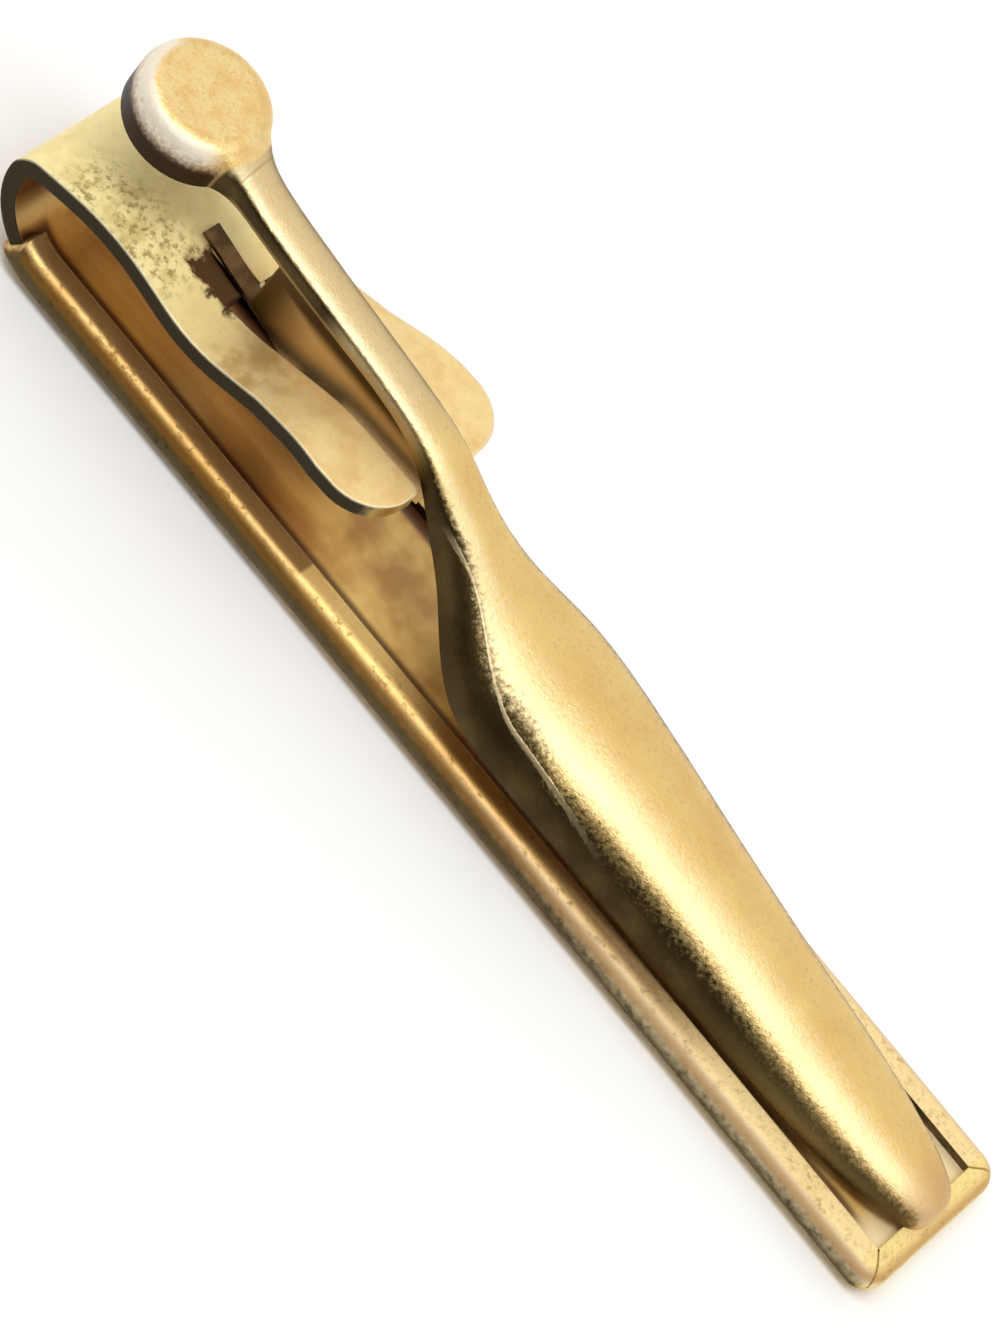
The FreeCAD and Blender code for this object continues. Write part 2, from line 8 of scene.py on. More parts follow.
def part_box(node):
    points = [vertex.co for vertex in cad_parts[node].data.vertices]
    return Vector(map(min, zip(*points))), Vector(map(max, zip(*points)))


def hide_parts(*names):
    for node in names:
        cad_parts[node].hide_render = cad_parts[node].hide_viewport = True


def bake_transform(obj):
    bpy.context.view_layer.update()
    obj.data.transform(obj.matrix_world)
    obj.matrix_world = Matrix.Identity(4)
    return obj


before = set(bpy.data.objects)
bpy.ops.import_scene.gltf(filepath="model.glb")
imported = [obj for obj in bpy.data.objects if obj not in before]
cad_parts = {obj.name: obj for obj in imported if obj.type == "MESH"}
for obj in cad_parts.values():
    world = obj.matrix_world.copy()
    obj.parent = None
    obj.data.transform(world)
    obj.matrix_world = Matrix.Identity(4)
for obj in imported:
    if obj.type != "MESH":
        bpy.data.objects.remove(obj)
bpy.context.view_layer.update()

scene = bpy.context.scene
scene.view_settings.view_transform = "Standard"


# Front bar: a sheet of gold-plated brass folded over on both long sides and at its free end, with mitred
# corners. Handling has worn its hems pale and pitted them. Painted shade darkens the hems under the bow and
# beside the jaw, the outer sides and the channel, and a painted highlight lightens the rolls of the hems.
MM = 0.001


class Socket:
    """A node's output; arithmetic on it adds Math nodes to the same material."""

    def __init__(self, socket):
        self.socket = socket

    def node(self, kind, settings, inputs, output=0):
        """Another node of the material: its settings first, then the values or links of its sockets."""
        tree = self.socket.id_data
        made = tree.nodes.new(kind)
        for name, setting in settings.items():
            setattr(made, name, setting)
        for name, given in inputs.items():
            if isinstance(given, Socket):
                tree.links.new(given.socket, made.inputs[name])
            else:
                made.inputs[name].default_value = given
        return Socket(made.outputs[output])

    def math(self, operation, first, second=0.0):
        return self.node("ShaderNodeMath", {"operation": operation}, {0: first, 1: second})

    def __add__(self, other):
        return self.math("ADD", self, other)

    def __sub__(self, other):
        return self.math("SUBTRACT", self, other)

    def __rsub__(self, other):
        return self.math("SUBTRACT", other, self)

    def __mul__(self, other):
        return self.math("MULTIPLY", self, other)

    def __neg__(self):
        return self.math("MULTIPLY", self, -1.0)

    def __abs__(self):
        return self.math("ABSOLUTE", self)

    def root(self):
        return self.math("SQRT", self)

    def larger(self, other):
        return self.math("MAXIMUM", self, other)

    __radd__ = __add__
    __rmul__ = __mul__

    def step(self, low, high):
        """0 at low, 1 at high and a smooth change between, whichever of them is the larger."""
        return self.node("ShaderNodeMapRange", {"interpolation_type": "SMOOTHSTEP"},
                         {"Value": self, "From Min": low, "From Max": high})

    def between(self, low, high, soft):
        """1 from low to high, with a soft margin outside them."""
        return self.step(low - soft, low) * self.step(high + soft, high)

    def mix(self, start, end):
        """Colour between two others, by this value."""
        return self.node("ShaderNodeMix", {"data_type": "RGBA"}, {"Factor": self, "A": start, "B": end}, 2)

    def split(self):
        """The three parts of a vector."""
        parts = self.node("ShaderNodeSeparateXYZ", {}, {"Vector": self}).socket.node.outputs
        return [Socket(part) for part in parts]


class Finish:
    """A metal's material with its place on the piece in millimetres and its outward direction."""

    def __init__(self, name):
        self.material = bpy.data.materials.new(name)
        self.material.use_nodes = True
        tree = self.material.node_tree
        self.shader = tree.nodes["Principled BSDF"]
        coordinates = tree.nodes.new("ShaderNodeTexCoord")
        at = Socket(coordinates.outputs["Object"])
        self.place = at.node("ShaderNodeVectorMath", {"operation": "SCALE"},
                             {"Vector": at, "Scale": 1.0 / MM})
        self.x, self.y, self.z = self.place.split()
        self.nx, self.ny, self.nz = Socket(coordinates.outputs["Normal"]).split()

    def cloud(self, scale, detail=2.0, rough=0.5, squeeze=(1, 1, 1)):
        """Noise from 0 to 1, with about so many patches to a millimetre."""
        at = self.place.node("ShaderNodeVectorMath", {"operation": "MULTIPLY"}, {0: self.place, 1: squeeze})
        return at.node("ShaderNodeTexNoise", {},
                       {"Vector": at, "Scale": scale, "Detail": detail, "Roughness": rough})

    def feed(self, name, value):
        """Links a value to one of the shader's sockets."""
        self.material.node_tree.links.new(value.socket, self.shader.inputs[name])

    def emboss(self, height, strength, depth, edge_radius):
        """Surface relief of so many millimetres, with the sharp edges polished round."""
        polished = height.node("ShaderNodeBevel", {"samples": 6}, {"Radius": edge_radius * MM})
        relief = height.node("ShaderNodeBump", {}, {"Strength": strength, "Distance": depth * MM,
                                                    "Height": height, "Normal": polished})
        self.feed("Normal", relief)

    def dress(self, node, slot):
        """Gives a CAD node this finish."""
        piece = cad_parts[node]
        piece.data.materials.clear()
        piece.data.materials.append(self.material)


def node_box(name):
    """Lowest and highest corner of a CAD node at rest, in millimetres."""
    return [Vector(corner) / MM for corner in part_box(name)]


PALE_GOLD = (0.94, 0.69, 0.28, 1)
DEEP_GOLD = (0.76, 0.48, 0.15, 1)
WORN_HEM_GOLD = (0.97, 0.79, 0.42, 1)
END_HEM_GOLD = (0.95, 0.74, 0.27, 1)
ROLL_HIGHLIGHT_GOLD = (0.92, 0.83, 0.58, 1)
GRIT_BROWN = (0.42, 0.24, 0.10, 1)
BROWN = (0.48, 0.22, 0.04, 1)
UMBER = (0.16, 0.065, 0.02, 1)
DARK_UMBER = (0.045, 0.016, 0.008, 1)
SIDE_SHADE_BROWN = (0.060, 0.040, 0.014, 1)
PIT = (0.30, 0.22, 0.07, 1)

# Two places together say where a mark begins and where it is full. A span is full from end to end.
BAR_HIGH = node_box("front_bar")[1]
HEM_EDGE_Y = BAR_HIGH.y - 1.38
HEM_ROLL_Y = BAR_HIGH.y - 0.82
END_HEM_X = BAR_HIGH.x - 1.16
HEM_UNDERSIDE_Z = BAR_HIGH.z - 0.45
WALL_FOOT_Z = (0.95, 0.35)
# Where the painted shadow of the bow on the hems ends, and how soft its edge is.
BOW_SHADOW_END_X = -8.2
BOW_SHADOW_CRISP = 0.1
BOW_SHADOW_FADE = 4.0
JAW_SHADE_SPAN_X = (0.5, 12.5)
JAW_SHADE_FADE = 5.0
PALE_HEM_X = (2.0, 14.0)
# Where the painted highlight on the rolls of the hems lies along the bar.
ROLL_HIGHLIGHT_X = (-3.0, 9.0)


def front_bar_finish():
    """Polished plating, worn pale on the hems, with painted shade on the outer sides and in the channel."""
    plate = Finish("front_bar_gold_plate")
    across = abs(plate.y)
    clouds = plate.cloud(0.30, 4.0, 0.6)
    specks = plate.cloud(2.8, 6.0, 0.7)
    grit = plate.cloud(4.5, 5.0, 0.75)
    fine = plate.cloud(7.0, 3.0)

    pitted = specks.step(0.53, 0.66) * clouds.step(0.34, 0.54)
    paler = plate.x.step(*PALE_HEM_X)
    gritty = grit.step(0.50, 0.68) * paler
    far_side = plate.y.step(-0.5, 0.5)
    # Painted shadow of the bow: it ends at a set place along the bar, crisp on the near tops of the hems and
    # fading on the far side and on the walls.
    fading = BOW_SHADOW_CRISP + BOW_SHADOW_FADE * far_side.larger(abs(plate.ny).step(0.5, 0.8))
    darkened_zone = plate.x.step(BOW_SHADOW_END_X + fading, BOW_SHADOW_END_X - fading)
    # Painted shade and dark reflection on the outer sides of the hems: mottled by specks, stronger in the
    # bow's painted shadow and at the foot of the walls, weaker towards the free end.
    wall_foot = plate.z.step(*WALL_FOOT_Z) * plate.nz.step(-0.55, -0.15)
    side = abs(plate.ny) + 0.36 * (specks - 0.5) + 0.14 * darkened_zone - 0.14 * paler + 0.30 * wall_foot
    side = side.step(0.60, 0.95)
    # Painted highlight: the rolls of the hems are paler where they begin to turn down, over a span along the
    # bar.
    roll_highlight = plate.x.step(*ROLL_HIGHLIGHT_X) * abs(plate.ny).step(0.25, 0.65) * plate.nz.step(0.05, 0.35)
    # Painted shade: the floor of the channel below the hems is browned.
    channel = plate.z.step(HEM_UNDERSIDE_Z + 0.20, HEM_UNDERSIDE_Z - 0.15) * plate.nz.step(0.2, 0.6)
    # Painted shadow of the bow on the inner tops of the hems.
    bow_shadow = across.step(HEM_ROLL_Y + 0.42, HEM_ROLL_Y + 0.12) * darkened_zone
    # Painted shadow of the jaw on the inner tops of the hems, over a span along the bar.
    jaw_shadow = across.step(HEM_ROLL_Y + 0.70, HEM_ROLL_Y - 0.05)
    jaw_shadow = jaw_shadow * plate.x.between(*JAW_SHADE_SPAN_X, JAW_SHADE_FADE)
    # Painted shade: a dark line on the inner edges of the hems, lighter on the far side.
    inner_edge = across.step(HEM_EDGE_Y + 0.06, HEM_EDGE_Y + 0.02) * abs(plate.ny).step(0.3, 0.6)
    end_hem = plate.x.step(END_HEM_X - 0.3, END_HEM_X + 0.1)

    colour = clouds.step(0.45, 0.72).mix(PALE_GOLD, DEEP_GOLD)
    colour = (0.55 * paler).mix(colour, WORN_HEM_GOLD)
    colour = (0.8 * end_hem).mix(colour, END_HEM_GOLD)
    colour = (0.6 * pitted).mix(colour, PIT)
    colour = (0.45 * gritty).mix(colour, GRIT_BROWN)
    colour = (0.75 * bow_shadow).mix(colour, UMBER)
    colour = (0.7 * jaw_shadow).mix(colour, UMBER)
    colour = (0.75 * roll_highlight).mix(colour, ROLL_HIGHLIGHT_GOLD)
    colour = (0.92 * side).mix(colour, SIDE_SHADE_BROWN)
    colour = (0.7 * channel).mix(colour, BROWN)
    colour = ((0.95 - 0.35 * far_side) * inner_edge).mix(colour, DARK_UMBER)
    plate.feed("Base Color", colour)
    plate.feed("Metallic", 0.75 - 0.55 * paler * (1 - 0.5 * side) + 0.25 * side.larger(jaw_shadow))
    plate.feed("Roughness", 0.36 + 0.16 * clouds + 0.16 * pitted + 0.08 * side + 0.08 * paler)
    plate.emboss(fine - 0.8 * pitted + 0.6 * grit, 0.40, 0.02, 0.10)
    return plate


front_bar_finish().dress("front_bar", "gold_plate")


# Bow: a strip of springy gold-plated brass, bent back over the bar and cut into a fork with two wings.
# Its lower leg lies in the folded bar, and ears below the wings hold the pin.
BOW_GOLD = (0.97, 0.79, 0.38, 1)
BOW_DEEP_GOLD = (0.90, 0.66, 0.28, 1)
BEND_GOLD = (1.0, 0.86, 0.41, 1)
BEND_SMEAR = (0.84, 0.64, 0.25, 1)
WING_GOLD = (0.93, 0.69, 0.33, 1)
WING_SMEAR = (0.80, 0.53, 0.20, 1)
SLOPE_BROWN = (0.56, 0.35, 0.11, 1)
PIT_HAZE = (0.60, 0.47, 0.15, 1)
CUT_EDGE_SHADE = (0.034, 0.026, 0.011, 1)
EDGE_HIGHLIGHT_GOLD = (1.0, 0.92, 0.66, 1)
LEVER_REFLECTION_BROWN = (0.11, 0.060, 0.024, 1)
LEG_STREAK = (0.26, 0.10, 0.025, 1)
LEG_SHADE = (0.10, 0.045, 0.014, 1)
LEG_GOLD = (1.0, 0.68, 0.22, 1)
LEG_BLOTCH = (0.62, 0.33, 0.09, 1)
LEG_BESIDE_HEM = (0.075, 0.020, 0.010, 1)
LEG_END_GOLD = (0.95, 0.80, 0.48, 1)

UPPER_LEG_Z = 5.0
LOWER_LEG_Z = 1.25
SLIT_HALF_WIDTH = 0.55
# Where the painted reflection of the lever lies along the bow.
LEVER_REFLECTION_X = -18.75
BEND_END_X = (-18.0, -20.5)
INNER_BEND_X = (-22.8, -25.0)
INNER_BEND_Z = (2.2, 3.4)
BEND_BROWN_Z = (4.8, 3.4)
WING_X = (-18.0, -15.0)
SLOPE_SPAN_X = (-16.0, -15.0)
PIT_SPAN_X = (-24.6, -20.4)
PAST_FORK_X = (-11.5, -8.5)
UNDER_FORK_X = (-9.5, -12.5)
UNDER_MIDDLE_Y = (-1.1, 0.3)
BESIDE_HEM_Y = (2.20, 2.55)
FREE_END_X = (23.8, 25.5)
FREE_END_SLANT = 0.25


def on_upper_leg(plate):
    """Everything at the height of the upper leg."""
    return plate.z.step(UPPER_LEG_Z - 0.6, UPPER_LEG_Z)


def lit_upward_edge(plate, radius):
    """Rises to 1 on the upward edges, where a pale line is painted as a highlight."""
    flat = plate.place.node("ShaderNodeNewGeometry", {}, {}, "Normal")
    rounded = flat.node("ShaderNodeBevel", {"samples": 6}, {"Radius": radius * MM})
    agreement = flat.node("ShaderNodeVectorMath", {"operation": "DOT_PRODUCT"},
                          {0: flat, 1: rounded}, "Value")
    return agreement.step(0.97, 0.84) * rounded.split()[2].step(0.1, 0.4)


def painted_lever_reflection(plate, ragged):
    """Ragged dark brown patch that runs up to the slit, a painted reflection of the lever."""
    along = abs(plate.x - LEVER_REFLECTION_X + 2.0 * ragged).step(1.65, 1.15)
    near_end = (plate.y + 1.8 * ragged).step(-1.90, -1.55)
    slit_end = plate.y.step(SLIT_HALF_WIDTH + 0.05, SLIT_HALF_WIDTH - 0.05)
    return along * (near_end * slit_end) * on_upper_leg(plate)


def bow_leg_colour(plate, colour, leg):
    """Lower leg: brown below the bow with painted shade under its middle, orange past the fork, painted
    shade beside the hems and painted light at the free end.
    """
    streaks = plate.cloud(0.8, 2.0, 0.5, (0.15, 1, 1))
    blotches = plate.cloud(0.45, 3.0, 0.5)
    past_fork = leg * plate.x.step(*PAST_FORK_X)
    # Painted light: the lower leg is pale near the free end.
    free_end = leg * (plate.x + FREE_END_SLANT * plate.y).step(*FREE_END_X)
    # Painted shade on the lower leg beside the hems, except at the free end.
    beside_hem = leg * abs(plate.y).step(*BESIDE_HEM_Y) * (1 - free_end)
    # Painted shade under the middle of the bow.
    under_middle = leg * plate.y.step(*UNDER_MIDDLE_Y) * plate.x.step(*UNDER_FORK_X)
    mottled = blotches.step(0.36, 0.68).mix(LEG_GOLD, LEG_BLOTCH)
    colour = (0.6 * leg * streaks.step(0.30, 0.75)).mix(colour, LEG_STREAK)
    colour = (0.7 * under_middle).mix(colour, LEG_SHADE)
    colour = (0.9 * past_fork).mix(colour, mottled)
    colour = (0.85 * beside_hem).mix(colour, LEG_BESIDE_HEM)
    colour = (0.85 * free_end).mix(colour, LEG_END_GOLD)
    return colour, past_fork, free_end


def bow_finish():
    """Pale plating, dulled and pitted towards the bend, with painted shade on the cut edge and a painted
    reflection of the lever beside the slit.
    """
    plate = Finish("bow_gold_plate")
    clouds = plate.cloud(0.28, 4.0, 0.6)
    smears = plate.cloud(0.8, 3.0, 0.55)
    specks = plate.cloud(2.8, 6.0, 0.72)
    ragged = plate.cloud(1.6, 5.0, 0.65) - 0.5
    fine = plate.cloud(8.0, 3.0)

    top = plate.nz.step(0.3, 0.7) * on_upper_leg(plate)
    bend_end = plate.x.step(*BEND_END_X) * top
    wing = plate.x.step(*WING_X) * top
    # Painted reflection: brown smears where the near side of the upper leg slopes up to the fork.
    slope = plate.x.between(*SLOPE_SPAN_X, 2.0) * plate.y.step(-0.8, -1.8) * top
    pit_field = plate.x.between(*PIT_SPAN_X, 1.7) * plate.y.step(-0.4, -1.8) * top
    pitted = specks.step(0.47, 0.62) * (0.12 + 0.88 * pit_field) * clouds.step(0.28, 0.46)
    # Painted shade on the cut edges, standing in for their dark reflection of the bar below.
    edge = (abs(plate.ny) + 0.25 * (specks - 0.5)).step(0.50, 0.80)
    # Brown on faces turned towards the bent end, full low down and fading out upwards.
    darkened_zone = plate.z.step(*BEND_BROWN_Z) * plate.nx.step(-0.35, -0.05)
    # Painted shade: the undersides are browned.
    below = plate.nz.step(-0.1, -0.5)
    # Painted shade inside the bend, below its top.
    inner_bend = plate.x.step(*INNER_BEND_X) * plate.nx.step(0.0, 0.5) * plate.z.step(*INNER_BEND_Z)
    leg = plate.z.step(LOWER_LEG_Z + 0.75, LOWER_LEG_Z + 0.35) * plate.nz.step(0.5, 0.9)
    # Painted reflection of the lever: a ragged dark brown patch beside the slit.
    lever_reflection = painted_lever_reflection(plate, ragged)
    # Painted highlight: a pale line along the upward edges of the upper leg, away from its middle.
    edge_highlight = lit_upward_edge(plate, 0.25) * plate.z.step(3.6, 4.6) * abs(plate.y).step(0.8, 1.2)

    colour = clouds.step(0.45, 0.75).mix(BOW_GOLD, BOW_DEEP_GOLD)
    colour = (0.85 * bend_end).mix(colour, BEND_GOLD)
    colour = (0.45 * bend_end * smears.step(0.44, 0.66)).mix(colour, BEND_SMEAR)
    colour = (0.75 * wing).mix(colour, smears.step(0.38, 0.68).mix(WING_GOLD, WING_SMEAR))
    colour = (0.6 * slope * smears.step(0.40, 0.66)).mix(colour, SLOPE_BROWN)
    colour = (0.5 * pit_field * smears.step(0.46, 0.62)).mix(colour, PIT_HAZE)
    colour = (0.65 * pitted).mix(colour, PIT)
    colour = (0.7 * darkened_zone).mix(colour, BROWN)
    colour = (0.5 * below).mix(colour, BROWN)
    colour = (0.88 * inner_bend).mix(colour, UMBER)
    colour, past_fork, free_end = bow_leg_colour(plate, colour, leg)
    colour = edge.mix(colour, CUT_EDGE_SHADE)
    colour = (0.75 * edge_highlight).mix(colour, EDGE_HIGHLIGHT_GOLD)
    colour = lever_reflection.mix(colour, LEVER_REFLECTION_BROWN)
    plate.feed("Base Color", colour)
    dull_top = (0.35 + 0.50 * bend_end - 0.10 * wing) * top * (1 - lever_reflection) * (1 - pitted)
    plate.feed("Metallic", 1 - dull_top - 0.70 * past_fork - 0.05 * free_end)
    plate.feed("Roughness", 0.28 + 0.10 * clouds + 0.16 * top + 0.14 * pitted + 0.12 * edge)
    plate.emboss(fine - 1.0 * pitted, 0.25, 0.02, 0.14)
    return plate


bow_finish().dress("bow", "gold_plate")


# Pivot pin: a short steel rivet through the ears of the bow and the lugs of the lever.
# Its ends are spread to flat heads outside the ears.
PIN_STEEL = (0.58, 0.52, 0.40, 1)
PIN_TARNISH = (0.36, 0.29, 0.19, 1)


def pin_finish():
    """Turned steel, yellowed, with fine rings round its axis."""
    steel = Finish("pivot_pin_steel")
    rings = steel.place.node("ShaderNodeTexWave", {"wave_type": "BANDS", "bands_direction": "Y"},
                             {"Vector": steel.place, "Scale": 6.0, "Distortion": 1.5, "Detail": 2.0})
    clouds = steel.cloud(2.0, 4.0)
    steel.feed("Base Color", clouds.mix(PIN_STEEL, PIN_TARNISH))
    steel.feed("Roughness", 0.26 + 0.18 * clouds)
    steel.emboss(rings, 0.1, 0.01, 0.05)
    steel.shader.inputs["Metallic"].default_value = 1.0
    return steel


pin_finish().dress("pivot_pin", "steel_pin")


# Leaf spring: a flat strip of browned spring steel, bent round the pin like a hairpin.
# One arm lies in the slit of the bow and stands on it, and the other pushes up the neck of the lever.
SPRING_STEEL = (0.20, 0.115, 0.052, 1)
SPRING_DARK = (0.09, 0.050, 0.023, 1)
PIN = sum(node_box("pivot_pin"), Vector()) / 2
SPRING_TIP = Vector((-18.50, 0.0, 9.776))
SPRING_FOOT = Vector((-20.70, 0.0, 6.453))
SPRING_BEND = 0.65
SPRING_THICK = 0.20
SPRING_WIDTH = 0.85
SPRING_EDGE_BREAK = 0.03
ARM_STEPS = 14
BEND_STEPS = 20


def spring_route():
    """Middle line of the strip from its foot round the pin to its tip, with the outward direction there."""
    def leave(end, side):
        away = end - PIN
        angle = math.atan2(away.z, away.x) + side * math.asin(SPRING_BEND / away.length)
        return angle - side * math.pi / 2

    start = leave(SPRING_FOOT, -1)
    stop = leave(SPRING_TIP, 1)
    while stop < start:
        stop += 2 * math.pi
    turns = [start + (stop - start) * i / BEND_STEPS for i in range(BEND_STEPS + 1)]
    outward = [Vector((math.cos(turn), 0.0, math.sin(turn))) for turn in turns]
    bend = [(PIN + out * SPRING_BEND, out) for out in outward]
    foot_arm = [(SPRING_FOOT.lerp(bend[0][0], i / ARM_STEPS), outward[0]) for i in range(ARM_STEPS)]
    tip_arm = [(bend[-1][0].lerp(SPRING_TIP, i / ARM_STEPS), outward[-1]) for i in range(1, ARM_STEPS + 1)]
    return foot_arm + bend + tip_arm


def strip_mesh(name, route, width, thick):
    """Closed strip of rectangular section along a route."""
    mesh = bmesh.new()
    rings = []
    for at, out in route:
        corners = [at + out * (up * thick / 2) + Vector((0.0, across * width / 2, 0.0))
                   for up, across in ((1, 1), (1, -1), (-1, -1), (-1, 1))]
        rings.append([mesh.verts.new(corner * MM) for corner in corners])
    for ring, following in zip(rings, rings[1:]):
        for i in range(4):
            mesh.faces.new((ring[i], ring[(i + 1) % 4], following[(i + 1) % 4], following[i]))
    mesh.faces.new(rings[0])
    mesh.faces.new(rings[-1])
    bmesh.ops.recalc_face_normals(mesh, faces=mesh.faces)
    data = bpy.data.meshes.new(name)
    mesh.to_mesh(data)
    mesh.free()
    made = bpy.data.objects.new(name, data)
    scene.collection.objects.link(made)
    return made


def spring_finish():
    """Tempered steel, browned in clouds, with a fine grain."""
    steel = Finish("leaf_spring_steel")
    clouds = steel.cloud(1.2, 4.0, 0.6)
    fine = steel.cloud(10.0, 3.0)
    steel.feed("Base Color", clouds.step(0.3, 0.7).mix(SPRING_STEEL, SPRING_DARK))
    steel.feed("Roughness", 0.34 + 0.20 * clouds)
    steel.emboss(fine, 0.15, 0.01, 0.03)
    steel.shader.inputs["Metallic"].default_value = 1.0
    return steel


leaf_spring = strip_mesh("leaf_spring_strip", spring_route(), SPRING_WIDTH, SPRING_THICK)
leaf_spring.data.materials.append(spring_finish().material)
edge_break = leaf_spring.modifiers.new("edge_break", "BEVEL")
edge_break.width = SPRING_EDGE_BREAK * MM
edge_break.segments = 2
edge_break.limit_method = "ANGLE"
edge_break.angle_limit = math.radians(50)
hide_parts("leaf_spring")
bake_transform(leaf_spring)


# Lever: one drawn sheet of brass with a cupped button, a channelled neck and a domed jaw, in satin gold.
# Painted highlights lighten the near half of the button's rim and the near shoulders, and painted shade
# darkens the flanks.
SATIN_GOLD = (0.90, 0.65, 0.25, 1)
SATIN_TAN = (0.82, 0.55, 0.20, 1)
SAND_BROWN = (0.62, 0.40, 0.14, 1)
SHOULDER_GOLD = (0.96, 0.86, 0.56, 1)
FLANK_DARK = (0.030, 0.018, 0.006, 1)
FLANK_OLIVE = (0.075, 0.048, 0.017, 1)
FOLD_GOLD = (0.92, 0.76, 0.44, 1)
NOSE_TAN = (0.66, 0.42, 0.20, 1)
NECK_TAN = (0.74, 0.60, 0.37, 1)
NECK_FAR_SHADE = (0.50, 0.40, 0.22, 1)
FAR_EDGE_BROWN = (0.26, 0.15, 0.055, 1)
LIP_BROWN = (0.50, 0.34, 0.16, 1)
CREASE_BROWN = (0.40, 0.26, 0.10, 1)
BUTTON_GOLD = (1.0, 0.80, 0.42, 1)
BUTTON_PATCH = (0.90, 0.60, 0.24, 1)
RIM_SILVER = (0.93, 0.85, 0.70, 1)
WALL_BROWN = (0.20, 0.12, 0.07, 1)
WALL_DARK = (0.036, 0.018, 0.009, 1)
LUG_GOLD = (0.68, 0.42, 0.16, 1)
LUG_DARK = (0.07, 0.040, 0.014, 1)

LEVER_LOW, LEVER_HIGH = node_box("lever")
BUTTON_RADIUS = 2.87
BUTTON_X = LEVER_LOW.x + BUTTON_RADIUS
BUTTON_TOP_Z = LEVER_HIGH.z
BUTTON_FOOT_Z = (9.2, 9.5)
CREASE_X = -20.7
NECK_START_X = -20.3
NECK_X = (-7.0, -11.0)
LIP_START_Z = 9.84
LIP_FALL = 0.13
LIP_LEVELLING = 0.0054
LIP_END_X = -11.5
LUG_Y = 0.95
LUG_START_X = -17.4
LUG_END_X = -6.9
LUG_TOP_Z = (9.5, 9.3)
LUG_SHADE_Z = (8.10, 8.85)
LUG_SHADE_X = (-14.2, -17.0)
DARKER_FLANK_SPAN_X = (-4.5, 2.0)
FOLD_Y = 1.35
FOLD_SPREAD = 1.85
FOLD_SPREAD_X = (-4.0, 2.2)
FOLD_START_X = (-6.0, -4.5)
FOLD_END_X = (8.5, 4.0)
PALE_NECK_SPAN_X = (-13.0, -9.5)
PALE_JAW_SIDE_X = (14.0, 22.0)
NOSE_X = LEVER_HIGH.x - 2.5


def button_masks(satin, speckle):
    """The button, a painted highlight on the near half of its rim, and painted shade on its wall."""
    from_axis = satin.x - BUTTON_X
    radius = (from_axis * from_axis + satin.y * satin.y).root()
    button = radius.step(BUTTON_RADIUS + 0.18, BUTTON_RADIUS + 0.08) * satin.z.step(*BUTTON_FOOT_Z)
    toward_neck = from_axis.step(2.0, 2.7) * abs(satin.y).step(1.5, 1.1)
    # Painted highlight: the rim is pale on its near half.
    near_half = (-0.9 * satin.y - 0.45 * from_axis).step(0.0, 1.0)
    rim = button * near_half * (satin.nz + 0.16 * speckle).step(0.99, 0.88) * (1 - toward_neck)
    # Painted shade on the button's wall, darker towards its foot.
    wall = button * satin.nz.step(0.80, 0.40) * (BUTTON_TOP_Z - satin.z + 1.0 * speckle).step(0.30, 1.25)
    return button, rim, wall


def lug_masks(satin):
    """The lugs, and their shade below the neck and towards the button."""
    lug = abs(satin.y).step(LUG_Y + 0.025, LUG_Y + 0.01) * abs(satin.ny).step(0.90, 0.96)
    lug = lug * satin.x.between(LUG_START_X + 0.1, LUG_END_X - 0.1, 0.3) * satin.z.step(*LUG_TOP_Z)
    shade = satin.z.step(*LUG_SHADE_Z).larger(satin.x.step(*LUG_SHADE_X))
    return lug, shade


def lip_mask(satin):
    """Thin lower edge along the sides of the neck, where a lighter line is painted as a highlight."""
    along = satin.x - NECK_START_X
    above = satin.z - (LIP_START_Z - LIP_FALL * along + LIP_LEVELLING * along * along)
    lip = above.step(0.18, 0.10) * abs(satin.ny).step(0.5, 0.8)
    return lip * satin.x.between(NECK_START_X + 0.1, LIP_END_X, 0.6)


def fold_mask(satin, speckle):
    """Thin raised fold low on the near flank, from the neck into the jaw, with a painted highlight along it.
    """
    line = FOLD_Y + FOLD_SPREAD * satin.x.step(*FOLD_SPREAD_X)
    fold = (abs(-satin.y - line) + 0.10 * speckle).step(0.10, 0.03)
    fold = fold * satin.x.step(*FOLD_START_X) * satin.x.step(*FOLD_END_X)
    return fold * satin.nz.step(0.10, 0.30)


